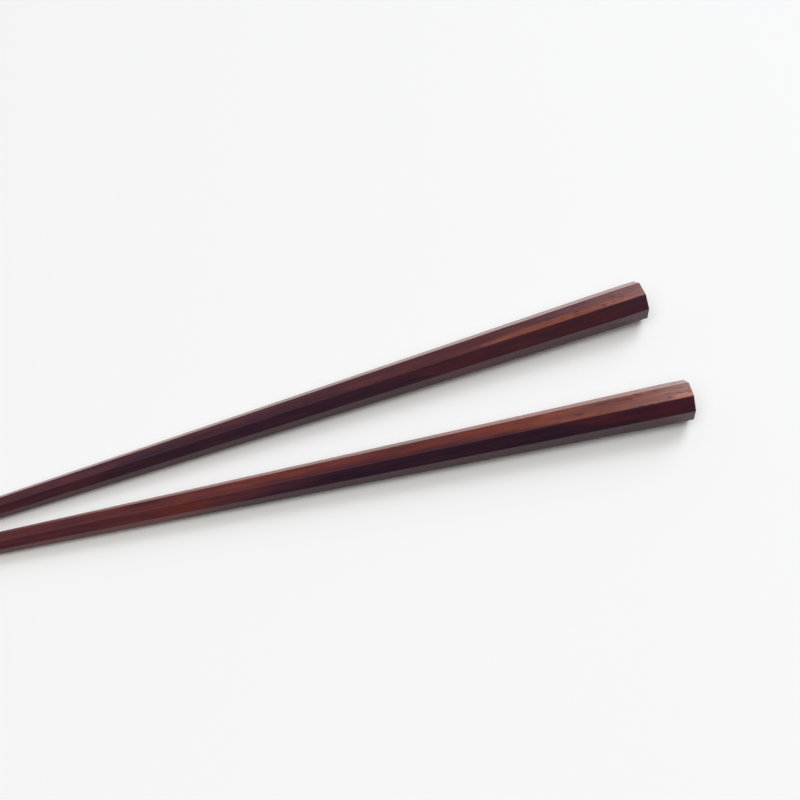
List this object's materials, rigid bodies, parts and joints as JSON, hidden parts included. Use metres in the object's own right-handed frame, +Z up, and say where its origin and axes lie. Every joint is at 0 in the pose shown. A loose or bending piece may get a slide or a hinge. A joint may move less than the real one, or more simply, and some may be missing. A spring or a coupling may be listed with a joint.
{
  "type": "pair of wooden chopsticks",
  "caption": "Straight eight-sided chopsticks of dark reddish hardwood, tapering evenly from a flat butt to a small domed tip, lying side by side in a narrow V for eating or serving.",
  "frame": {"origin": "on the table under the middle of the pair's bounding box", "axes": "+X along the middle of the V from the tips to the butts, +Y across the pair towards the left stick, +Z up from the table"},
  "size_m": [0.2048, 0.0408, 0.0095],
  "materials": {
    "oiled_rosewood": "satin"
  },
  "bodies": {
    "root": {"left_chopstick": "oiled_rosewood", "right_chopstick": "oiled_rosewood"}
  },
  "joints": []
}
